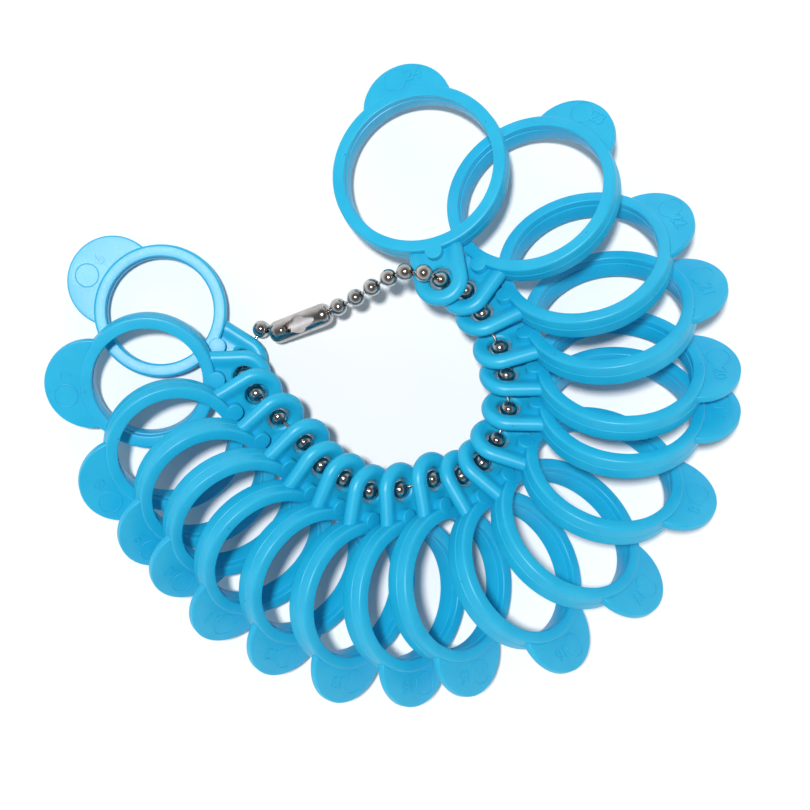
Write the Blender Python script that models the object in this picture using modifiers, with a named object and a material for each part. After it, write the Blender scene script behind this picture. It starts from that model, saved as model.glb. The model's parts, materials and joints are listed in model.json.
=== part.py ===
"""Finger-size gauge set: nineteen moulded ring gauges strung on a snap-closed ball chain.

Metres, +Z up. The set lies on a table at z = 0, fanned out like fallen shingles: the smallest
gauge lies flat and each larger gauge leans over the one before it. Every gauge is modelled in
its own frame: the origin is the centre of its lug hole, +X runs across the ring to the finger
tab, and +Z is the normal of the printed face.
"""

import math

import bmesh
import bpy
from mathutils import Matrix, Vector

MM = 0.001

# Ring gauges
SMALLEST_SIZE = 6
SMALLEST_BORE = 14.667 * MM
BORE_STEP = 1 / 3 * MM
WALL = 1.9 * MM
RING_HEIGHT = 3.3 * MM
EDGE_CHAMFER = 0.35 * MM
RING_SEGMENTS = 28
CUTTER_DEPTH = 10 * MM

# Finger tab, a thin disc that the ring cuts into
TAB_RADIUS = 6.25 * MM
TAB_THICKNESS = 1.1 * MM
TAB_BELOW_FACE = 0.4 * MM
TAB_REACH = 4.8 * MM
SHORT_TAB_REACH = {24: 3.6 * MM, 23: 3.5 * MM, 22: 4.2 * MM}
TAB_SEGMENTS = 20

# Lug with its chain hole
LUG_RADIUS = 3.7 * MM
RIM_RADIUS = 0.95 * MM
WEB_THICKNESS = 1.1 * MM
HOLE_RADIUS = 1.6 * MM
HOLE_TO_RING = 3.8 * MM
LUG_ARC_STEPS = 6
HOLE_SEGMENTS = 12

# Ball chain
BEAD_RADIUS = 1.2 * MM
WIRE_RADIUS = 0.22 * MM
LINK_GAP = 0.12 * MM

# Snap connector
CLASP_LENGTH = 9.3 * MM
CLASP_RADIUS = 1.58 * MM
CLASP_WALL = 0.22 * MM
CLASP_MOUTH = 0.85 * MM
CLASP_SEGMENTS = 16
CLASP_END_STEPS = 4
WINDOW_LENGTH = 5.2 * MM
WINDOW_WIDTH = 1.7 * MM
BEAD_TO_CLASP_END = 1.6 * MM
WINDOW_STEPS = 8

# Edges sharper than these, in degrees, stay crisp when shaded
GAUGE_CREASE = 35
BEAD_CREASE = 60
CLASP_CREASE = 40
WELD = 0.001 * MM

# The middle of the set's footprint, in the mm of the places below, which becomes the origin.
MIDDLE_X = -2.0
MIDDLE_Y = 2.95

# Where each gauge lies: x and y of its hole in mm, and the bearing of its tab in degrees.
SPOTS = {
    24: (4.8, 16.8, 100),
    23: (8.2, 15.4, 54),
    22: (10.4, 12.3, 26),
    21: (12.8, 7.7, 16),
    20: (13.7, 4.0, 1),
    19: (14.0, -0.6, -1),
    18: (12.4, -4.8, -18),
    17: (10.4, -7.8, -40),
    16: (7.65, -9.6, -60),
    15: (3.7, -10.0, -80),
    14: (-0.7, -11.4, -87),
    13: (-4.8, -11.6, -99),
    12: (-8.25, -9.9, -112),
    11: (-11.3, -8.1, -125),
    10: (-13.6, -5.0, -135),
    9: (-17.2, -1.6, -138),
    8: (-20.3, 1.6, -148),
    7: (-22.0, 3.9, -178),
    6: (-22.7, 6.1, -212),
}
LARGEST_SIZE = max(SPOTS)

# The fan stands at one lean about the line from hole to tab and eases down to flat at its ends.
STANDING_LEAN = 46
END_LEANS = {24: 12, 23: 32, 22: 41, 10: 45, 9: 40, 8: 29, 7: 16, 6: 0}
# The tabs dip a little below the holes, more on the side of the smaller gauges,
# and most where the chain lifts the largest ones.
STANDING_DIP = 2
END_DIPS = {24: 19, 23: 9, 22: 5, 21: 3, 15: 5, 14: 6, 13: 8, 12: 10, 11: 9, 10: 7, 9: 5, 8: 3, 7: 1, 6: 0}
# Each gauge's lowest edge is this far off the table, or higher where it lies on its neighbour.
TABLE_GAP = 0.1
LIFTED = {24: 1.5, 23: 1.05, 11: 0.2, 10: 0.5, 7: 0.4, 6: 0.0}

# The last threaded bead rests on the table, and the link beyond it runs under the flat lug.
LAST_BEAD_HEIGHT = 1.25
UNDER_LUG_HEIGHT = 0.40

# Free run of the chain in mm: from the hole of the largest gauge over to the connector.
FREE_RUN = (
    (2.5, 17.6, 14.2),
    (0.0, 17.8, 13.2),
    (-2.2, 17.1, 11.5),
    (-4.5, 15.9, 9.7),
    (-6.7, 14.6, 7.8),
    (-9.1, 13.4, 6.0),
)
SEATED_RIGHT = (-11.5, 12.3, 4.4)
SEATED_LEFT = (-17.05, 10.25, 2.5)
LEAD_BEAD = (-19.9, 10.5, 1.55)


def place(x, y, z):
    """A point of the layout tables, in metres from the origin."""
    return Vector((x - MIDDLE_X, y - MIDDLE_Y, z)) * MM


def clear_scene():
    for obj in list(bpy.data.objects):
        bpy.data.objects.remove(obj, do_unlink=True)


def new_collection(name):
    collection = bpy.data.collections.new(name)
    bpy.context.scene.collection.children.link(collection)
    return collection


def principled(name, colour, roughness, metallic):
    material = bpy.data.materials.new(name)
    material.use_nodes = True
    shader = material.node_tree.nodes["Principled BSDF"]
    shader.inputs["Base Color"].default_value = (*colour, 1.0)
    shader.inputs["Roughness"].default_value = roughness
    shader.inputs["Metallic"].default_value = metallic
    return material


clear_scene()
PARTS = new_collection("finger_size_gauge_set")
HELPERS = new_collection("cutters")
BLUE_PLASTIC = principled("blue_plastic", (0.04, 0.47, 0.75), 0.35, 0.0)
CHROME = principled("chrome_plate", (0.62, 0.60, 0.57), 0.18, 1.0)


def add_object(name, mesh, collection, material=None):
    obj = bpy.data.objects.new(name, mesh)
    collection.objects.link(obj)
    if material:
        mesh.materials.append(material)
    return obj


def add_helper(name, mesh):
    obj = add_object(name, mesh, HELPERS)
    obj.hide_render = True
    obj.display_type = "WIRE"
    return obj


def evaluated_mesh(obj):
    """The object's mesh with its modifiers applied and the seams of its caps welded."""
    graph = bpy.context.evaluated_depsgraph_get()
    mesh = bpy.data.meshes.new_from_object(obj.evaluated_get(graph))
    shape = bmesh.new()
    shape.from_mesh(mesh)
    bmesh.ops.remove_doubles(shape, verts=shape.verts, dist=WELD)
    shape.to_mesh(mesh)
    shape.free()
    return mesh


def cylinder_mesh(name, radius, depth, segments, centre=(0, 0, 0)):
    shape = bmesh.new()
    bmesh.ops.create_cone(
        shape, cap_ends=True, segments=segments, radius1=radius, radius2=radius,
        depth=depth, matrix=Matrix.Translation(centre),
    )
    mesh = bpy.data.meshes.new(name)
    shape.to_mesh(mesh)
    shape.free()
    return mesh


def boolean(obj, other, operation):
    modifier = obj.modifiers.new(f"{operation.lower()}_{other.name}"[:60], "BOOLEAN")
    modifier.operation = operation
    modifier.object = other
    modifier.solver = "EXACT"


def turned(name, profile, segments):
    """A closed (radius, height) outline, outer side running downwards, turned about Z."""
    mesh = bpy.data.meshes.new(name)
    count = len(profile)
    edges = [(i, (i + 1) % count) for i in range(count)]
    mesh.from_pydata([(radius, 0, height) for radius, height in profile], edges, [])
    obj = add_helper(name + "_profile", mesh)
    screw = obj.modifiers.new("turn", "SCREW")
    screw.axis = "Z"
    screw.angle = math.tau
    screw.steps = segments
    screw.render_steps = segments
    screw.use_merge_vertices = True
    screw.merge_threshold = WELD
    result = evaluated_mesh(obj)
    result.name = name
    bpy.data.objects.remove(obj)
    return result


def tube_mesh(name, points, radius, side_resolution):
    """A round bar along points given as (x, y, z), with closed ends."""
    curve = bpy.data.curves.new(name, "CURVE")
    curve.dimensions = "3D"
    curve.bevel_depth = radius
    curve.bevel_resolution = side_resolution
    curve.use_fill_caps = True
    spline = curve.splines.new("POLY")
    spline.points.add(len(points) - 1)
    for target, point in zip(spline.points, points):
        target.co = (*point, 1.0)
    obj = add_helper(name + "_path", curve)
    mesh = evaluated_mesh(obj)
    mesh.name = name
    bpy.data.objects.remove(obj)
    return mesh


def smooth(mesh, angle):
    mesh.shade_smooth()
    mesh.set_sharp_from_angle(angle=math.radians(angle))


def lug_outline(radius, far_x):
    """The U of the lug: a half circle round the hole and two straight sides to far_x."""
    points = [(far_x, -radius)]
    for step in range(LUG_ARC_STEPS + 1):
        angle = math.radians(-90 - 180 * step / LUG_ARC_STEPS)
        points.append((radius * math.cos(angle), radius * math.sin(angle)))
    points.append((far_x, radius))
    return points


def plate_mesh(name, outline, thickness):
    """A flat outline in X and Y, extruded half its thickness each way."""
    curve = bpy.data.curves.new(name, "CURVE")
    curve.dimensions = "2D"
    curve.fill_mode = "BOTH"
    curve.extrude = thickness / 2
    spline = curve.splines.new("POLY")
    spline.points.add(len(outline) - 1)
    for target, (x, y) in zip(spline.points, outline):
        target.co = (x, y, 0, 1.0)
    spline.use_cyclic_u = True
    obj = add_helper(name + "_outline", curve)
    mesh = evaluated_mesh(obj)
    mesh.name = name
    bpy.data.objects.remove(obj)
    return mesh


def bore_radius(size):
    return (SMALLEST_BORE + BORE_STEP * (size - SMALLEST_SIZE)) / 2


def ring_mesh(name, bore, outer):
    half = RING_HEIGHT / 2
    profile = (
        (bore, half),
        (outer - EDGE_CHAMFER, half),
        (outer, half - EDGE_CHAMFER),
        (outer, EDGE_CHAMFER - half),
        (outer - EDGE_CHAMFER, -half),
        (bore, -half),
    )
    return turned(name, profile, RING_SEGMENTS)


def lean_and_dip(size):
    lean = math.radians(END_LEANS.get(size, STANDING_LEAN))
    dip = math.radians(END_DIPS.get(size, STANDING_DIP))
    return lean, dip


def hole_height(size):
    """How high the hole's centre is when the ring's lowest edge is at its place above the table."""
    lean, dip = lean_and_dip(size)
    outer = bore_radius(size) + WALL
    flat_share = math.cos(lean) * math.cos(dip)
    edge_share = math.sqrt(1 - flat_share * flat_share)
    below_centre = outer * edge_share + RING_HEIGHT / 2 * flat_share
    below_centre -= EDGE_CHAMFER * min(edge_share, flat_share)
    centre_below_hole = (HOLE_TO_RING + outer) * math.sin(dip)
    return LIFTED.get(size, TABLE_GAP) * MM + below_centre + centre_below_hole


def gauge_place(size):
    x, y, _ = SPOTS[size]
    return place(x, y, hole_height(size) / MM)


def gauge_matrix(size):
    bearing = math.radians(SPOTS[size][2])
    lean, dip = lean_and_dip(size)
    turn = Matrix.Rotation(bearing, 4, "Z") @ Matrix.Rotation(dip, 4, "Y")
    return Matrix.Translation(gauge_place(size)) @ turn @ Matrix.Rotation(-lean, 4, "X")


def build_gauge(size):
    name = f"ring_gauge_{size:02d}"
    bore = bore_radius(size)
    outer = bore + WALL
    centre_x = HOLE_TO_RING + outer
    wall_middle = bore + WALL / 2

    ring = ring_mesh(name, bore, outer)
    ring.transform(Matrix.Translation((centre_x, 0, 0)))
    gauge = add_object(name, ring, PARTS, BLUE_PLASTIC)
    gauge.matrix_world = gauge_matrix(size)

    core_mesh = cylinder_mesh(name + "_core", wall_middle, CUTTER_DEPTH, RING_SEGMENTS, (centre_x, 0, 0))
    core = add_helper(name + "_core", core_mesh)

    tab_x = centre_x + outer + SHORT_TAB_REACH.get(size, TAB_REACH) - TAB_RADIUS
    tab_z = RING_HEIGHT / 2 - TAB_BELOW_FACE - TAB_THICKNESS / 2
    tab_shape = cylinder_mesh(name + "_tab", TAB_RADIUS, TAB_THICKNESS, TAB_SEGMENTS, (tab_x, 0, tab_z))
    tab = add_helper(name + "_tab", tab_shape)
    boolean(tab, core, "DIFFERENCE")

    rim_path_radius = LUG_RADIUS - RIM_RADIUS
    rim_points = [(x, y, 0) for x, y in lug_outline(rim_path_radius, HOLE_TO_RING + WALL / 2)]
    rim = add_helper(name + "_rim", tube_mesh(name + "_rim", rim_points, RIM_RADIUS, 1))
    web_shape = plate_mesh(name + "_web", lug_outline(rim_path_radius, HOLE_TO_RING + WALL), WEB_THICKNESS)
    web = add_helper(name + "_web", web_shape)
    hole_shape = cylinder_mesh(name + "_hole", HOLE_RADIUS, CUTTER_DEPTH, HOLE_SEGMENTS)
    hole = add_helper(name + "_hole", hole_shape)
    boolean(web, rim, "UNION")
    boolean(web, core, "DIFFERENCE")
    boolean(web, hole, "DIFFERENCE")

    for helper in (core, tab, rim, web, hole):
        helper.matrix_world = gauge.matrix_world
    boolean(gauge, tab, "UNION")
    boolean(gauge, web, "UNION")
    smooth(ring, GAUGE_CREASE)
    return gauge


def bead_object(name, centre, link_points, pivot=None):
    """A hollow-looking ball with the link that joins it to the ball before it.

    link_points run from the ball's centre to the link's far end, in world coordinates.
    """
    ball = bmesh.new()
    bmesh.ops.create_icosphere(ball, subdivisions=2, radius=BEAD_RADIUS)
    mesh = bpy.data.meshes.new(name)
    ball.to_mesh(mesh)
    ball.free()
    smooth(mesh, BEAD_CREASE)
    bead = add_object(name, mesh, PARTS, CHROME)
    bead.location = centre
    if link_points:
        local = [Vector(point) - Vector(centre) for point in link_points]
        wire = add_helper(name + "_wire", tube_mesh(name + "_wire", local, WIRE_RADIUS, 1))
        wire.location = centre
        boolean(bead, wire, "UNION")
    if pivot is not None:
        empty = bpy.data.objects.new(name + "_pivot", None)
        empty.location = pivot
        PARTS.objects.link(empty)
        bead.parent = empty
        bead.location = Vector(centre) - Vector(pivot)
    return bead


def link_to(centre, parent):
    """The straight link from a ball's centre to just short of the parent ball's skin."""
    centre = Vector(centre)
    parent = Vector(parent)
    reach = (parent - centre).length - BEAD_RADIUS - LINK_GAP
    return [centre, centre + (parent - centre).normalized() * reach]


def hole_centre(size):
    """Where the hole's bead sits: at the middle of the hole, or on the table in the flat gauge."""
    centre = gauge_place(size)
    if size == SMALLEST_SIZE:
        centre.z = LAST_BEAD_HEIGHT * MM
    return centre


def build_chain():
    """Balls in the lug holes, the free run, and the two end balls seated in the connector."""
    bead_object(f"threaded_bead_{LARGEST_SIZE}", hole_centre(LARGEST_SIZE), None)
    for size in range(LARGEST_SIZE - 1, SMALLEST_SIZE - 1, -1):
        centre = hole_centre(size)
        bead_object(f"threaded_bead_{size:02d}", centre, link_to(centre, hole_centre(size + 1)))

    before = hole_centre(LARGEST_SIZE)
    for number, point in enumerate(FREE_RUN, start=1):
        centre = place(*point)
        pivot = None if number == 1 else before
        bead_object(f"free_bead_{number}", centre, link_to(centre, before), pivot)
        before = centre

    seated_right = place(*SEATED_RIGHT)
    seated_left = place(*SEATED_LEFT)
    lead = place(*LEAD_BEAD)
    bead_object("seated_bead_right", seated_right, link_to(seated_right, before), seated_left)
    bead_object("seated_bead_left", seated_left, link_to(seated_left, lead))

    last = hole_centre(SMALLEST_SIZE)
    along = (last - lead) * Vector((1, 1, 0))
    along = along.normalized()
    low = UNDER_LUG_HEIGHT * MM
    drop = lead + along * BEAD_RADIUS
    end = last - along * (BEAD_RADIUS + LINK_GAP)
    drooping = [lead, Vector((drop.x, drop.y, low)), Vector((end.x, end.y, low))]
    bead_object("lead_bead", lead, drooping)


def clasp_profile():
    """Half section of the pressed tube: rounded ends that close in to the two mouths."""
    half = CLASP_LENGTH / 2
    bend = CLASP_RADIUS - CLASP_MOUTH

    def side(radius, bend_radius, end):
        points = []
        for step in range(CLASP_END_STEPS + 1):
            angle = math.radians(90 * step / CLASP_END_STEPS)
            points.append((
                CLASP_MOUTH + (radius - CLASP_MOUTH) * math.sin(angle),
                end - bend_radius * (1 - math.cos(angle)),
            ))
        return points

    outer = side(CLASP_RADIUS, bend, half)
    inner = side(CLASP_RADIUS - CLASP_WALL, bend - CLASP_WALL, half - CLASP_WALL)
    lower_outer = [(radius, -height) for radius, height in reversed(outer)]
    lower_inner = [(radius, -height) for radius, height in inner]
    return outer + lower_outer + lower_inner + list(reversed(inner))


def window_outline():
    """A pointed oval: two shallow arcs that meet at both ends."""
    upper = []
    for step in range(WINDOW_STEPS + 1):
        share = 2 * step / WINDOW_STEPS - 1
        upper.append((share * WINDOW_LENGTH / 2, WINDOW_WIDTH / 2 * (1 - share * share)))
    lower = [(x, -y) for x, y in reversed(upper[1:-1])]
    return upper + lower


def build_clasp():
    right = place(*SEATED_RIGHT)
    left = place(*SEATED_LEFT)
    pivot = bpy.data.objects.new("chain_clasp_pivot", None)
    pivot.location = left
    PARTS.objects.link(pivot)

    shell = turned("chain_clasp", clasp_profile(), CLASP_SEGMENTS)
    shell.transform(Matrix.Rotation(math.radians(90), 4, "Y"))
    clasp = add_object("chain_clasp", shell, PARTS, CHROME)
    window_shape = plate_mesh("clasp_window", window_outline(), 2 * CLASP_RADIUS)
    window_shape.transform(Matrix.Translation((0, 0, CLASP_RADIUS)))
    window = add_helper("clasp_window", window_shape)
    boolean(clasp, window, "DIFFERENCE")
    smooth(shell, CLASP_CREASE)

    along = (right - left).normalized()
    across = Vector((0, 0, 1)).cross(along).normalized()
    up = along.cross(across)
    turn = Matrix((along, across, up)).transposed().to_4x4()
    centre = left + along * (CLASP_LENGTH / 2 - BEAD_TO_CLASP_END)
    clasp.parent = pivot
    clasp.matrix_local = Matrix.Translation(centre - left) @ turn
    window.matrix_world = Matrix.Translation(centre) @ turn


for gauge_size in SPOTS:
    build_gauge(gauge_size)
build_chain()
build_clasp()
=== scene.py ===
"""Looks of the ring sizing gauge set: detailed gauges, ball chain, connector, table, light and camera."""

import json
import math

import bpy
import bmesh
import numpy as np
from mathutils import Matrix, Vector


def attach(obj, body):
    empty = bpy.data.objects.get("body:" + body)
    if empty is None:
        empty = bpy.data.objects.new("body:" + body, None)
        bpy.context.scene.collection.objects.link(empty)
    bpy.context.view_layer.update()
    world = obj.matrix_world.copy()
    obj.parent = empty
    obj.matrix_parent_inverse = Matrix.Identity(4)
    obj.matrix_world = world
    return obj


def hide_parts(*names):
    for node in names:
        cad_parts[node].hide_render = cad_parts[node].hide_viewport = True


MM = 0.001

# Gauge, in millimetres: the main dimensions, equal to those of the CAD part.
SMALLEST_SIZE = 6
SMALLEST_BORE = 14.667
BORE_STEP = 1 / 3
WALL = 1.9
RING_HEIGHT = 3.3
TAB_RADIUS = 6.25
TAB_THICKNESS = 1.1
TAB_BELOW_FACE = 0.4
TAB_REACH = 4.8
SHORT_TAB_REACH = {24: 3.6, 23: 3.5, 22: 4.2}
LUG_RADIUS = 3.7
RIM_RADIUS = 0.95
WEB_HALF = 0.55
HOLE_RADIUS = 1.6
HOLE_TO_RING = 3.8

# Fine detail of a ring, in millimetres: edge rounding, parting ridge and the step in the bore.
FACE_FILLET = 0.32
BORE_FILLET = 0.16
DRAFT = 0.1
RIDGE = 0.07
RIDGE_FOOT = 0.14
RIDGE_SHOULDER = 0.07
RIDGE_ROUNDING = 0.012
BORE_STEP_DEPTH = 0.13
BORE_STEP_SHARE = 0.3

# Fine detail of a tab and a lug, in millimetres.
TAB_EDGE = 0.22
RIM_CREST = 0.95
RIM_FALL = 1.5
HOLE_LIP = 0.22
LUG_INTO_RING = 1.0
LUG_END_HALF = 0.05
CORNER_MARGIN = 0.01
NUB_RADIUS = 1.2
NUB_X = 3.75
NUB_PROUD = 0.05
NUB_EDGE = 0.12
NUB_BASE = 0.1

# Ejector mark and figures on a tab, in millimetres. A short tab pulls both back from its tip.
EJECTOR_RADIUS = 1.6
EJECTOR_RIDGE = 0.09
EJECTOR_SUNK = 0.02
EJECTOR_FOOT = 0.05
EJECTOR_FROM_RING = 1.9
EJECTOR_FROM_TIP = 2.0
EJECTOR_SIDE = 1.3
EJECTOR_DRIFT = 0.3
DIGIT_HEIGHT = 1.75
DIGIT_PROUD = 0.1
DIGIT_FROM_RING = 1.7
DIGIT_FROM_TIP = 1.7
DIGIT_SIDE = -1.55
FONT_SIZE_TO_HEIGHT = 1.4

# Fineness of the meshes.
RING_STEPS = 160
TAB_STEPS = 72
LUG_STEPS = 96
LUG_LOOPS = 22
NUB_STEPS = 40
EJECTOR_STEPS = 48
BEAD_STEPS = 48
CLASP_STEPS = 96
CLASP_END_STEPS = 12
WINDOW_STEPS = 48

# Chain and connector, in millimetres, but INSIDE_MARGIN in degrees.
BEAD_RADIUS = 1.2
WIRE_RADIUS = 0.22
BEAD_MOUTH = 0.42
BEAD_LIP = 0.12
BEAD_WALL = 0.18
MOUTH_ROLL = 0.04
MOUTH_SLOPE = 0.05
INSIDE_MARGIN = 6
WIRE_GAP = 0.03
CLASP_LENGTH = 9.3
CLASP_RADIUS = 1.58
CLASP_WALL = 0.22
CLASP_MOUTH = 0.6
CLASP_END_BEND = 1.3
BEAD_TO_CLASP_END = 1.6
WINDOW_LENGTH = 5.6
WINDOW_WIDTH = 1.85
WINDOW_POINT = 0.75
NOTCH_HALF_LENGTH = 0.85
NOTCH_DEPTH = 0.32
UNDER_LUG_HEIGHT = 0.40
UNDER_LUG_GAP = 0.12
DIP_SHARE = 0.6
FACE_TOLERANCE = 0.02

# Finding a ball's centre: each round keeps the share of the points that lie nearest the sphere, and
# all that miss it by no more than the tolerance, in millimetres.
FIT_ROUNDS = 6
FIT_SHARE = 0.75
FIT_TOLERANCE = 0.02

# Edges sharper than these, in degrees, stay crisp when shaded.
CREASE = 38
CLASP_CREASE = 30

# Colours, as linear RGB, darker and lighter. The table's are greys, and so are the sky's, which are
# given by height, from 0 at the horizon to 1 overhead.
BLUE_SHADES = ((0.005, 0.400, 0.665), (0.012, 0.440, 0.700))
SPECK_BLUE = (0.01, 0.14, 0.24)
PLATE_SHADES = ((0.36, 0.34, 0.32), (0.58, 0.55, 0.52))
# The inside of the connector is painted lighter than the plating, standing for the light that falls in
# through its window.
INSIDE_PAINTED_LIGHT_SHADES = ((0.80, 0.78, 0.80), (0.92, 0.90, 0.92))
TABLE_SHADES = (0.895, 0.905)
SKY_SHADES = ((0.0, 0.95), (0.35, 0.80), (0.72, 0.18), (1.0, 0.05))

# Camera and light: places in millimetres from the table's origin. The light is a sun, so its place
# sets only its direction, and its angle in degrees sets the softness of shadows.
CAMERA_HEIGHT = 350
CAMERA_WIDTH = 112.6
CAMERA_X, CAMERA_Y = 2.0, -2.95
KEY_PLACE = (-92, 74, 1000)
KEY_ANGLE = 5
KEY_ENERGY = 2.8
TABLE_HALF_SIZE = 1200

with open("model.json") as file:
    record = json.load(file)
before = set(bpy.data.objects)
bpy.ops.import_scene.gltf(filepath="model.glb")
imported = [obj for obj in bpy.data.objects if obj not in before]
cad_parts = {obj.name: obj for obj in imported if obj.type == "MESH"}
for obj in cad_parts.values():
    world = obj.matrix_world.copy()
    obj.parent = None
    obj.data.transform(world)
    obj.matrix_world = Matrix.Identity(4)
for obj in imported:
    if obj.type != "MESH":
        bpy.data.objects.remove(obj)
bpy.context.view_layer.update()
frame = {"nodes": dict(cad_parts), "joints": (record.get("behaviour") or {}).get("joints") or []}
scene = bpy.context.scene


# ---------- materials ----------

def new_material(name):
    material = bpy.data.materials.new(name)
    material.use_nodes = True
    tree = material.node_tree
    return material, tree, tree.nodes["Principled BSDF"]


def noise(tree, scale, detail):
    """Noise fixed to the object. The scale is in features per metre."""
    coords = tree.nodes.new("ShaderNodeTexCoord")
    texture = tree.nodes.new("ShaderNodeTexNoise")
    texture.inputs["Scale"].default_value = scale
    texture.inputs["Detail"].default_value = detail
    tree.links.new(coords.outputs["Object"], texture.inputs["Vector"])
    return texture.outputs["Fac"]


def ramp(tree, source, stops):
    """Colours by the source's value, from stops of (place, colour)."""
    node = tree.nodes.new("ShaderNodeValToRGB")
    elements = node.color_ramp.elements
    while len(elements) < len(stops):
        elements.new(0.5)
    for element, (place, colour) in zip(elements, stops):
        element.position = place
        element.color = (*colour, 1)
    tree.links.new(source, node.inputs["Fac"])
    return node.outputs["Color"]


def bump(tree, source, strength, distance):
    node = tree.nodes.new("ShaderNodeBump")
    node.inputs["Strength"].default_value = strength
    node.inputs["Distance"].default_value = distance
    tree.links.new(source, node.inputs["Height"])
    return node.outputs["Normal"]


def grey(value):
    return (value, value, value)


def blue_plastic():
    """Moulded plastic: a slightly mottled blue with a few dark specks and a fine orange-peel gloss."""
    material, tree, shader = new_material("blue_plastic_look")
    links = tree.links
    dark, light = BLUE_SHADES
    mottle = ramp(tree, noise(tree, scale=260, detail=4), ((0.3, dark), (0.7, light)))

    coords = tree.nodes.new("ShaderNodeTexCoord")
    specks = tree.nodes.new("ShaderNodeTexVoronoi")
    specks.inputs["Scale"].default_value = 900
    links.new(coords.outputs["Object"], specks.inputs["Vector"])
    dots = ramp(tree, specks.outputs["Distance"], ((0.07, grey(1)), (0.13, grey(0))))
    patches = ramp(tree, noise(tree, scale=330, detail=1), ((0.62, grey(0)), (0.68, grey(1))))
    both = tree.nodes.new("ShaderNodeMath")
    both.operation = "MULTIPLY"
    links.new(dots, both.inputs[0])
    links.new(patches, both.inputs[1])
    mix = tree.nodes.new("ShaderNodeMix")
    mix.data_type = "RGBA"
    links.new(both.outputs[0], mix.inputs["Factor"])
    links.new(mottle, mix.inputs["A"])
    mix.inputs["B"].default_value = (*SPECK_BLUE, 1)
    links.new(mix.outputs["Result"], shader.inputs["Base Color"])

    rough = ramp(tree, noise(tree, scale=8000, detail=2), ((0.3, grey(0.35)), (0.7, grey(0.45))))
    links.new(rough, shader.inputs["Roughness"])
    peel = bump(tree, noise(tree, scale=9000, detail=2), strength=0.22, distance=0.03 * MM)
    links.new(peel, shader.inputs["Normal"])
    shader.inputs["IOR"].default_value = 1.5
    return material


def chrome():
    """Bright plating with faint clouding, uneven gloss and slight waves."""
    material, tree, shader = new_material("chrome_plate_look")
    links = tree.links
    shader.inputs["Metallic"].default_value = 1.0
    dark, light = PLATE_SHADES
    colour = ramp(tree, noise(tree, scale=700, detail=5), ((0.3, dark), (0.7, light)))
    links.new(colour, shader.inputs["Base Color"])
    rough = ramp(tree, noise(tree, scale=1600, detail=4), ((0.3, grey(0.10)), (0.75, grey(0.24))))
    links.new(rough, shader.inputs["Roughness"])
    waves = bump(tree, noise(tree, scale=900, detail=3), strength=0.3, distance=0.04 * MM)
    links.new(waves, shader.inputs["Normal"])
    return material


def satin():
    """The inside of the pressed tube: rougher than the plating, and painted lighter to stand for the light
    that falls on it through the window.
    """
    material, tree, shader = new_material("inside_painted_light_look")
    shader.inputs["Metallic"].default_value = 0.55
    dark, light = INSIDE_PAINTED_LIGHT_SHADES
    colour = ramp(tree, noise(tree, scale=900, detail=4), ((0.3, dark), (0.7, light)))
    tree.links.new(colour, shader.inputs["Base Color"])
    shader.inputs["Roughness"].default_value = 0.42
    return material


def table_material():
    """White paper with a slight tooth."""
    material, tree, shader = new_material("table_paper")
    links = tree.links
    dark, light = TABLE_SHADES
    colour = ramp(tree, noise(tree, scale=40, detail=4), ((0.3, grey(dark)), (0.7, grey(light))))
    links.new(colour, shader.inputs["Base Color"])
    shader.inputs["Roughness"].default_value = 0.9
    shader.inputs["Specular IOR Level"].default_value = 0.15
    tooth = bump(tree, noise(tree, scale=900, detail=4), strength=0.08, distance=0.1 * MM)
    links.new(tooth, shader.inputs["Normal"])
    return material


BLUE = blue_plastic()
CHROME = chrome()


# ---------- mesh helpers ----------

class Builder:
    """Collects the vertices and faces of one piece, in millimetres."""

    def __init__(self):
        self.points = []
        self.faces = []

    def add(self, points, faces):
        start = len(self.points)
        self.points.extend(tuple(point) for point in points)
        self.faces.extend(tuple(start + index for index in face) for face in faces)

    def add_mesh(self, mesh):
        """Takes in a Blender mesh, whose coordinates are in millimetres already."""
        self.add([v.co[:] for v in mesh.vertices], [tuple(p.vertices) for p in mesh.polygons])

    def finish(self, name, matrix, material, body, node, crease=CREASE):
        """Makes the object, placed by the matrix, riding its body and standing in for its CAD node."""
        mesh = bpy.data.meshes.new(name)
        mesh.from_pydata([tuple(c * MM for c in p) for p in self.points], [], self.faces)
        mesh.validate()
        tidy = bmesh.new()
        tidy.from_mesh(mesh)
        bmesh.ops.recalc_face_normals(tidy, faces=tidy.faces)
        tidy.to_mesh(mesh)
        tidy.free()
        mesh.transform(matrix)
        mesh.shade_smooth()
        mesh.set_sharp_from_angle(angle=math.radians(crease))
        mesh.materials.append(material)
        obj = bpy.data.objects.new(name, mesh)
        scene.collection.objects.link(obj)
        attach(obj, body)
        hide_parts(node)
        return obj


def revolve(profile, steps, centre=(0, 0), closed=True):
    """Turns a profile of (radius, height) about the vertical line at centre."""
    count = len(profile)
    points = []
    for step in range(steps):
        angle = 2 * math.pi * step / steps
        for radius, height in profile:
            x = centre[0] + radius * math.cos(angle)
            y = centre[1] + radius * math.sin(angle)
            points.append((x, y, height))
    faces = []
    for step in range(steps):
        ahead = (step + 1) % steps
        for i in range(count if closed else count - 1):
            j = (i + 1) % count
            faces.append((step * count + i, ahead * count + i, ahead * count + j, step * count + j))
    return points, faces


def arc(cx, cz, radius, start, end, steps):
    """Points along an arc about (cx, cz), between two angles in degrees."""
    return [
        (
            cx + radius * math.cos(math.radians(start + (end - start) * i / steps)),
            cz + radius * math.sin(math.radians(start + (end - start) * i / steps)),
        )
        for i in range(steps + 1)
    ]


def capped_disc(radius, bottom, top, edge, steps, centre):
    """A disc with a rounded upper edge."""
    profile = list(reversed(arc(radius - edge, top - edge, edge, 0, 90, 5))) + [(radius, bottom)]
    points, faces = revolve(profile, steps, centre, closed=False)
    count = len(profile)
    faces.append(tuple(step * count for step in range(steps)))
    faces.append(tuple(step * count + count - 1 for step in range(steps)))
    return points, faces


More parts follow.
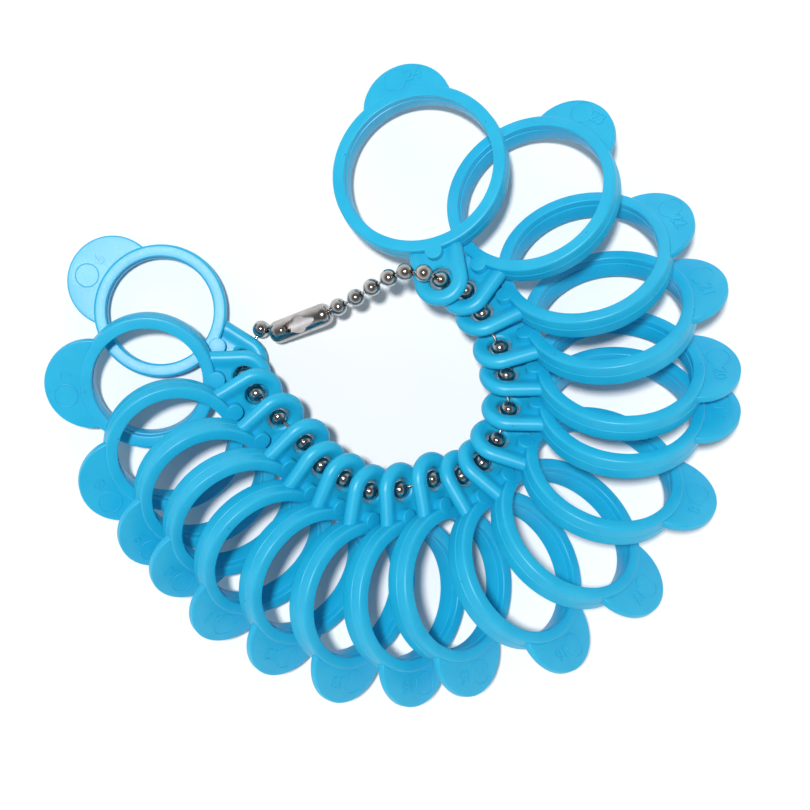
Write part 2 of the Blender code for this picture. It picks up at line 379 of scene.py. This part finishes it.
def temporary(name, points, faces):
    """A welded closed shell in millimetres, for a Boolean."""
    mesh = bpy.data.meshes.new(name)
    mesh.from_pydata([tuple(p) for p in points], [], faces)
    tidy = bmesh.new()
    tidy.from_mesh(mesh)
    bmesh.ops.remove_doubles(tidy, verts=tidy.verts, dist=1e-5)
    bmesh.ops.recalc_face_normals(tidy, faces=tidy.faces)
    tidy.to_mesh(mesh)
    tidy.free()
    obj = bpy.data.objects.new(name, mesh)
    scene.collection.objects.link(obj)
    return obj


def combined(first, others, operation):
    """The mesh of a Boolean of closed shells, which are removed afterwards."""
    for other in others:
        cut = first.modifiers.new(other.name, "BOOLEAN")
        cut.operation = operation
        cut.solver = "MANIFOLD"
        cut.object = other
    graph = bpy.context.evaluated_depsgraph_get()
    mesh = bpy.data.meshes.new_from_object(first.evaluated_get(graph))
    for obj in (first, *others):
        bpy.data.objects.remove(obj)
    return mesh


# ---------- gauge ----------

def ring_profile(bore, outer):
    """Closed cross-section of a ring's wall as (radius, height), between the radii bore and outer."""
    half = RING_HEIGHT / 2
    step_z = half - RING_HEIGHT * BORE_STEP_SHARE
    loop = []
    # printed face, from the bore edge outwards
    loop += arc(bore + BORE_STEP_DEPTH + BORE_FILLET, half - BORE_FILLET, BORE_FILLET, 180, 90, 4)
    loop += arc(outer - DRAFT - FACE_FILLET, half - FACE_FILLET, FACE_FILLET, 90, 0, 6)
    # outer wall: two drafted bands with a parting ridge
    foot, shoulder = outer - RIDGE, outer - RIDGE_ROUNDING
    loop += [(foot, RIDGE_FOOT), (shoulder, RIDGE_SHOULDER), (outer, 0.0)]
    loop += [(shoulder, -RIDGE_SHOULDER), (foot, -RIDGE_FOOT)]
    loop += arc(outer - DRAFT - FACE_FILLET, FACE_FILLET - half, FACE_FILLET, 0, -90, 6)
    # underside and bore
    loop += arc(bore + BORE_FILLET, BORE_FILLET - half, BORE_FILLET, -90, -180, 4)
    # the softened step between the narrow and the wide part of the bore
    loop += [(bore, step_z - 0.10), (bore + 0.02, step_z - 0.03), (bore + BORE_STEP_DEPTH, step_z + 0.02)]
    return loop


def tab_shell(ring_x, core, tab_x):
    """A round thin tab with rounded edges, cut off inside the ring's wall."""
    gap = tab_x - ring_x
    # where the tab's edge crosses the circle in the middle of the ring's wall
    cross_x = (gap * gap + core * core - TAB_RADIUS * TAB_RADIUS) / (2 * gap)
    limit = math.acos((cross_x - gap) / TAB_RADIUS)
    steps = TAB_STEPS
    directions = []
    for i in range(steps + 1):
        angle = -limit + 2 * limit * i / steps
        directions.append((math.cos(angle), math.sin(angle)))
    half = TAB_THICKNESS / 2
    top = RING_HEIGHT / 2 - TAB_BELOW_FACE
    middle = top - half
    # rounded edge as (inset from the tab's radius, height), from the upper face to the lower one
    section = [(TAB_EDGE, half)]
    for across, up in arc(0, 0, TAB_EDGE, 78, 0, 5):
        section.append((TAB_EDGE - across, half - TAB_EDGE + up))
    section += [(inset, -height) for inset, height in reversed(section)]
    count = len(section)
    points, faces = [], []
    for cos, sin in directions:
        for inset, height in section:
            radius = TAB_RADIUS - inset
            points.append((tab_x + radius * cos, radius * sin, middle + height))
    for i in range(steps):
        for j in range(count - 1):
            faces.append((i * count + j, (i + 1) * count + j, (i + 1) * count + j + 1, i * count + j + 1))
    # the inner end runs along the core circle, inside the wall
    ends = math.atan2(TAB_RADIUS * math.sin(limit), gap + TAB_RADIUS * math.cos(limit))
    start = len(points)
    for i in range(steps + 1):
        angle = -ends + 2 * ends * i / steps
        x, y = ring_x + core * math.cos(angle), core * math.sin(angle)
        points.append((x, y, middle + half))
        points.append((x, y, middle - half))
    for i in range(steps):
        a, b = start + 2 * i, start + 2 * i + 2
        faces.append((a, b, b + 1, a + 1))
        faces.append((i * count, a, b, (i + 1) * count))
        faces.append((i * count + count - 1, (i + 1) * count + count - 1, b + 1, a + 1))
    for i, k in ((0, start), (steps, start + 2 * steps)):
        faces.append(tuple([i * count + j for j in range(count)] + [k + 1, k]))
    return points, faces


def lug_outline(angle):
    """Distance from the hole's centre to the lug's edge: round behind, straight sides, flat end."""
    if math.cos(angle) <= 0:
        return LUG_RADIUS
    end = (HOLE_TO_RING + LUG_INTO_RING) / max(math.cos(angle), 1e-6)
    side = LUG_RADIUS / max(abs(math.sin(angle)), 1e-6)
    return min(end, side)


def lug_height(x, y):
    """Half thickness of the lug at a point of its plan: a round rim that falls softly to the web."""
    inward = LUG_RADIUS - (math.hypot(x, y) if x < 0 else abs(y))
    if inward < RIM_CREST:
        return RIM_RADIUS * math.sqrt(max(1 - (1 - inward / RIM_CREST) ** 2, 0))
    fall = min((inward - RIM_CREST) / RIM_FALL, 1.0)
    return WEB_HALF + (RIM_RADIUS - WEB_HALF) * (0.5 + 0.5 * math.cos(math.pi * fall))


def lug_loop(step, sign):
    """Points round the hole, at one step of the way from its edge to the lug's, above or below."""
    loop = []
    share = math.sin(math.pi / 2 * step / LUG_LOOPS)
    for i in range(LUG_STEPS):
        angle = 2 * math.pi * i / LUG_STEPS
        radius = HOLE_RADIUS + (lug_outline(angle) - HOLE_RADIUS) * share
        x, y = radius * math.cos(angle), radius * math.sin(angle)
        thick = lug_height(x, y)
        if radius < HOLE_RADIUS + HOLE_LIP:
            down = 1 - (radius - HOLE_RADIUS) / HOLE_LIP
            thick -= HOLE_LIP * (1 - math.sqrt(max(1 - down * down, 0)))
        if step == LUG_LOOPS:
            at_ring = x > 0 and abs(y) < LUG_RADIUS - CORNER_MARGIN
            thick = max(thick, LUG_END_HALF) if at_ring else 0.0
        loop.append((x, y, sign * thick))
    return loop


def lug_shell():
    """The U-shaped lug: a soft raised rim round a thinner web with a softened hole edge."""
    # out over the top to the edge, which both sides share, and back below
    loops = [lug_loop(step, 1) for step in range(LUG_LOOPS + 1)]
    loops += [lug_loop(step, -1) for step in reversed(range(LUG_LOOPS))]
    points = [point for loop in loops for point in loop]
    faces = []
    for k in range(len(loops)):
        here = k * LUG_STEPS
        following = (k + 1) % len(loops) * LUG_STEPS
        for i in range(LUG_STEPS):
            j = (i + 1) % LUG_STEPS
            faces.append((here + i, here + j, following + j, following + i))
    return points, faces


def ejector_ridge(top, centre):
    """The fine raised circle left by an ejector pin, its foot sunk below the tab's face."""
    crest = arc(EJECTOR_RADIUS, top - EJECTOR_SUNK, EJECTOR_RIDGE, 150, 30, 4)
    foot = top - EJECTOR_FOOT
    inner = (EJECTOR_RADIUS - EJECTOR_RIDGE, foot)
    outer = (EJECTOR_RADIUS + EJECTOR_RIDGE, foot)
    return revolve([inner, *crest, outer], EJECTOR_STEPS, centre)


def digits_mesh(text):
    """Figures centred on the origin, standing DIGIT_PROUD above it and as deep below it."""
    curve = bpy.data.curves.new("figures", "FONT")
    curve.body = text
    curve.size = DIGIT_HEIGHT * FONT_SIZE_TO_HEIGHT
    curve.align_x = "CENTER"
    curve.align_y = "CENTER"
    curve.extrude = DIGIT_PROUD * 0.75
    curve.bevel_depth = DIGIT_PROUD * 0.25
    curve.bevel_resolution = 1
    curve.resolution_u = 4
    holder = bpy.data.objects.new("figures", curve)
    scene.collection.objects.link(holder)
    mesh = bpy.data.meshes.new_from_object(holder.evaluated_get(bpy.context.evaluated_depsgraph_get()))
    bpy.data.objects.remove(holder)
    return mesh


def gauge_matrix(node, joint):
    """The gauge's own frame: hole centre, +X to the tab, +Z out of the printed face."""
    hole = Vector(joint["pos_m"])
    normal = Vector(joint["axis"]).normalized()
    mesh = frame["nodes"][node].data
    centroid = Vector((0, 0, 0))
    total = 0.0
    for polygon in mesh.polygons:
        centroid += polygon.center * polygon.area
        total += polygon.area
    towards = centroid / total - hole
    towards = (towards - normal * towards.dot(normal)).normalized()
    across = normal.cross(towards)
    return Matrix.Translation(hole) @ Matrix((towards, across, normal)).transposed().to_4x4()


def build_gauge(size, joint):
    """One moulding: ring, tab, lug, nub and ejector mark united, with the figures on top."""
    node = f"ring_gauge_{size:02d}"
    bore = (SMALLEST_BORE + BORE_STEP * (size - SMALLEST_SIZE)) / 2
    outer = bore + WALL
    ring_x = HOLE_TO_RING + outer
    reach = SHORT_TAB_REACH.get(size, TAB_REACH)
    tab_x = ring_x + outer + reach - TAB_RADIUS
    top = RING_HEIGHT / 2 - TAB_BELOW_FACE
    mark_x = ring_x + outer + min(EJECTOR_FROM_RING, reach - EJECTOR_FROM_TIP)
    mark_y = EJECTOR_SIDE + EJECTOR_DRIFT * math.sin(size)
    digits_x = ring_x + outer + min(DIGIT_FROM_RING, reach - DIGIT_FROM_TIP)

    ring = temporary("ring", *revolve(ring_profile(bore, outer), RING_STEPS, (ring_x, 0)))
    nub_top = RING_HEIGHT / 2 + NUB_PROUD
    shells = (
        tab_shell(ring_x, bore + WALL / 2, tab_x),
        lug_shell(),
        capped_disc(NUB_RADIUS, NUB_BASE, nub_top, NUB_EDGE, NUB_STEPS, (NUB_X, 0)),
        ejector_ridge(top, (mark_x, mark_y)),
    )
    others = [temporary(f"shell_{i}", *shell) for i, shell in enumerate(shells)]
    builder = Builder()
    builder.add_mesh(combined(ring, others, "UNION"))

    figures = digits_mesh(str(size))
    turn = Matrix.Rotation(math.radians(-90), 4, "Z")
    figures.transform(Matrix.Translation((digits_x, DIGIT_SIDE, top)) @ turn)
    builder.add_mesh(figures)
    matrix = gauge_matrix(node, joint)
    builder.finish(node + "_moulding", matrix, BLUE, f"gauge_{size:02d}", node)


# ---------- chain ----------

def ball_centre(node):
    """Centre of a node's ball, in metres: a sphere is fitted to its points, leaving the link out."""
    points = np.array([v.co[:] for v in frame["nodes"][node].data.vertices], float)
    keep = np.ones(len(points), bool)
    for _ in range(FIT_ROUNDS):
        chosen = points[keep]
        system = np.c_[2 * chosen, np.ones(len(chosen))]
        found = np.linalg.lstsq(system, (chosen ** 2).sum(axis=1), rcond=None)[0]
        centre = found[:3]
        distance = np.linalg.norm(points - centre, axis=1)
        miss = np.abs(distance - BEAD_RADIUS * MM)
        keep = miss <= max(np.quantile(miss, FIT_SHARE), FIT_TOLERANCE * MM)
    return Vector(centre)


def tube_along(path, radius, sides=14):
    """A round wire along a path, closed at both ends."""
    points, faces = [], []
    path = [Vector(p) for p in path]
    count = len(path)
    side = None
    for i, point in enumerate(path):
        ahead = (path[min(i + 1, count - 1)] - path[max(i - 1, 0)]).normalized()
        if side is None:
            side = ahead.orthogonal().normalized()
        side = (side - ahead * side.dot(ahead)).normalized()
        other = ahead.cross(side)
        for k in range(sides):
            angle = 2 * math.pi * k / sides
            points.append(point + radius * (math.cos(angle) * side + math.sin(angle) * other))
    for i in range(count - 1):
        for k in range(sides):
            j = (k + 1) % sides
            faces.append((i * sides + k, i * sides + j, (i + 1) * sides + j, (i + 1) * sides + k))
    faces.append(tuple(range(sides)))
    faces.append(tuple(range((count - 1) * sides, count * sides)))
    return points, faces


def hollow_ball(axis):
    """A thin-walled ball with a rolled-in mouth at both ends of its axis."""
    opening = math.degrees(math.asin(BEAD_MOUTH / BEAD_RADIUS))
    outside = 90 - opening
    inside = outside - INSIDE_MARGIN
    deep = math.sqrt(BEAD_RADIUS ** 2 - BEAD_MOUTH ** 2)
    # the upper mouth's inner edge, then its outer one
    rolled = [
        (BEAD_MOUTH - MOUTH_SLOPE, deep - BEAD_LIP - MOUTH_SLOPE),
        (BEAD_MOUTH - MOUTH_ROLL, deep - MOUTH_ROLL),
    ]
    loop = arc(0, 0, BEAD_RADIUS, outside, -outside, 30)
    loop += [(radius, -height) for radius, height in reversed(rolled)]
    loop += arc(0, 0, BEAD_RADIUS - BEAD_WALL, -inside, inside, 12)
    loop += rolled
    points, faces = revolve(loop, BEAD_STEPS)
    turn = Vector(axis).to_track_quat("Z", "Y").to_matrix()
    return [turn @ Vector(p) for p in points], faces


def build_bead(node, body, centre, axis, wire):
    """A ball at centre, with the link that runs from it along the wire's points. All in metres."""
    builder = Builder()
    builder.add(*hollow_ball(axis))
    if wire:
        builder.add(*tube_along([(p - centre) / MM for p in wire], WIRE_RADIUS))
    matrix = Matrix.Translation(centre)
    builder.finish(node + "_ball", matrix, CHROME, body, node)


def straight(centre, parent):
    """A link's wire, from a ball's centre to WIRE_GAP short of the ball before. All in metres."""
    along = (parent - centre).normalized()
    return [centre, parent - along * (BEAD_RADIUS + WIRE_GAP) * MM]


def build_chain(sizes):
    """All balls with their links, given the gauges' sizes from the largest. Returns the balls' centres."""
    run = [f"threaded_bead_{size:02d}" for size in sizes]
    free = [f"free_bead_{i}" for i in range(1, 7)]
    bodies = {"free_bead_1": "chain", "seated_bead_right": "clasp"}
    bodies.update({f"free_bead_{i}": f"link_{i}" for i in range(2, 7)})
    others = ["lead_bead", "seated_bead_left", "seated_bead_right"]
    centre = {name: ball_centre(name) for name in run + free + others}

    for i, name in enumerate(run):
        before = centre[run[i - 1]] if i else centre["free_bead_1"]
        after = centre[run[i + 1]] if i + 1 < len(run) else centre["lead_bead"]
        wire = straight(centre[name], before) if i else None
        build_bead(name, "chain", centre[name], before - after, wire)

    chain_of_free = [run[0]] + free + ["seated_bead_right"]
    for i in range(1, len(chain_of_free)):
        name, before = chain_of_free[i], centre[chain_of_free[i - 1]]
        is_last = i + 1 == len(chain_of_free)
        after = centre["seated_bead_left" if is_last else chain_of_free[i + 1]]
        build_bead(name, bodies[name], centre[name], before - after, straight(centre[name], before))

    left, lead = centre["seated_bead_left"], centre["lead_bead"]
    build_bead("seated_bead_left", "chain", left, left - lead, straight(left, lead))
    # this link dips from the ball and passes low, under the lug of the smallest gauge
    last = centre["threaded_bead_06"]
    along = Vector((last.x - lead.x, last.y - lead.y, 0)).normalized()
    drop = lead + along * BEAD_RADIUS * MM
    end = last - along * (BEAD_RADIUS + UNDER_LUG_GAP) * MM
    drop.z = end.z = UNDER_LUG_HEIGHT * MM
    wire = [lead, lead.lerp(drop, DIP_SHARE), drop, end]
    build_bead("lead_bead", "chain", lead, left - lead, wire)
    return centre


def clasp_end(radius, bend, end):
    """The rounded end of the tube as (radius, height), from its mouth to its full radius."""
    points = []
    for i in range(CLASP_END_STEPS + 1):
        turn = math.pi / 2 * i / CLASP_END_STEPS
        across = CLASP_MOUTH + (radius - CLASP_MOUTH) * math.sin(turn)
        points.append((across, end - bend * (1 - math.cos(turn))))
    return points


def clasp_loop():
    """Cross-section of the tube's wall, rounded in at both ends."""
    half = CLASP_LENGTH / 2
    outer = clasp_end(CLASP_RADIUS, CLASP_END_BEND, half)
    inner = clasp_end(CLASP_RADIUS - CLASP_WALL, CLASP_END_BEND - CLASP_WALL, half - CLASP_WALL)
    loop = outer + [(r, -z) for r, z in reversed(outer)]
    loop += [(r, -z) for r, z in inner] + list(reversed(inner))
    return loop


def prism(outline, bottom, top):
    """A closed solid with the outline's plan."""
    count = len(outline)
    points = [(x, y, bottom) for x, y in outline] + [(x, y, top) for x, y in outline]
    faces = [tuple(reversed(range(count))), tuple(range(count, 2 * count))]
    faces += [(i, (i + 1) % count, count + (i + 1) % count, count + i) for i in range(count)]
    return points, faces


def window_outline():
    """A pointed oval with a scallop at the middle of both its long edges."""
    upper = []
    for i in range(WINDOW_STEPS + 1):
        share = 2 * i / WINDOW_STEPS - 1
        x = share * WINDOW_LENGTH / 2
        y = WINDOW_WIDTH / 2 * (1 - share * share) ** WINDOW_POINT
        if abs(x) < NOTCH_HALF_LENGTH:
            y += NOTCH_DEPTH * math.sqrt(1 - (x / NOTCH_HALF_LENGTH) ** 2)
        upper.append((x, y))
    return upper + [(x, -y) for x, y in reversed(upper[1:-1])]


def build_clasp(centre):
    """Pressed connector tube with a window in its upper side, plated, and inside at the bottom a rougher
    metal painted lighter, standing for the light that falls in through the window.
    """
    points, faces = revolve(clasp_loop(), CLASP_STEPS)
    turn = Matrix.Rotation(math.radians(90), 3, "Y")
    shell = temporary("clasp_shell", [turn @ Vector(p) for p in points], faces)
    window = temporary("clasp_window", *prism(window_outline(), 0.0, 2 * CLASP_RADIUS))
    mesh = combined(shell, [window], "DIFFERENCE")

    left, right = centre["seated_bead_left"], centre["seated_bead_right"]
    along = (right - left).normalized()
    across = Vector((0, 0, 1)).cross(along).normalized()
    up = along.cross(across)
    middle = left + along * (CLASP_LENGTH / 2 - BEAD_TO_CLASP_END) * MM
    matrix = Matrix.Translation(middle) @ Matrix((along, across, up)).transposed().to_4x4()
    builder = Builder()
    builder.add_mesh(mesh)
    # faces of the inner wall below the axis, seen through the window, which take the inside material
    # painted lighter for the light that falls in there
    inner = CLASP_RADIUS - CLASP_WALL + FACE_TOLERANCE
    inside = [math.hypot(p.center.y, p.center.z) < inner and p.center.z < 0 for p in mesh.polygons]
    tube = builder.finish(
        "clasp_tube", matrix, CHROME, "clasp", "chain_clasp", crease=CLASP_CREASE
    )
    tube.data.materials.append(satin())
    for polygon, within in zip(tube.data.polygons, inside):
        polygon.material_index = int(within)


# ---------- table, light and camera ----------

def build_stage():
    """Table, a sky that is bright at the horizon and dark overhead, and a soft high sun."""
    size = TABLE_HALF_SIZE * MM
    corners = [(-size, -size, 0), (size, -size, 0), (size, size, 0), (-size, size, 0)]
    mesh = bpy.data.meshes.new("table")
    mesh.from_pydata(corners, [], [(0, 1, 2, 3)])
    mesh.materials.append(table_material())
    floor = bpy.data.objects.new("table", mesh)
    scene.collection.objects.link(floor)

    world = bpy.data.worlds.new("studio")
    world.use_nodes = True
    tree = world.node_tree
    coords = tree.nodes.new("ShaderNodeTexCoord")
    parts = tree.nodes.new("ShaderNodeSeparateXYZ")
    tree.links.new(coords.outputs["Generated"], parts.inputs[0])
    shades = ramp(tree, parts.outputs["Z"], [(place, grey(shade)) for place, shade in SKY_SHADES])
    tree.links.new(shades, tree.nodes["Background"].inputs["Color"])
    tree.nodes["Background"].inputs["Strength"].default_value = 1.0
    scene.world = world

    light = bpy.data.lights.new("key", "SUN")
    light.angle = math.radians(KEY_ANGLE)
    light.energy = KEY_ENERGY
    key = bpy.data.objects.new("key", light)
    key.location = Vector(KEY_PLACE) * MM
    key.rotation_mode = "QUATERNION"
    key.rotation_quaternion = (-key.location).to_track_quat("-Z", "Y")
    scene.collection.objects.link(key)


def build_camera():
    """Straight above the table, wide enough to take in CAMERA_WIDTH at the table's height."""
    data = bpy.data.cameras.new("camera")
    data.lens_unit = "FOV"
    data.angle = 2 * math.atan(CAMERA_WIDTH / 2 / CAMERA_HEIGHT)
    data.clip_start, data.clip_end = 0.01, 10
    camera = bpy.data.objects.new("camera", data)
    camera.location = (CAMERA_X * MM, CAMERA_Y * MM, CAMERA_HEIGHT * MM)
    scene.collection.objects.link(camera)
    scene.camera = camera


gauge_joints = {
    int(joint["name"].split("_")[1]): joint for joint in frame["joints"] if joint["name"].endswith("_swing")
}
for gauge_size, gauge_joint in sorted(gauge_joints.items()):
    build_gauge(gauge_size, gauge_joint)
build_clasp(build_chain(sorted(gauge_joints, reverse=True)))
build_stage()
build_camera()
scene.view_settings.view_transform = "Standard"
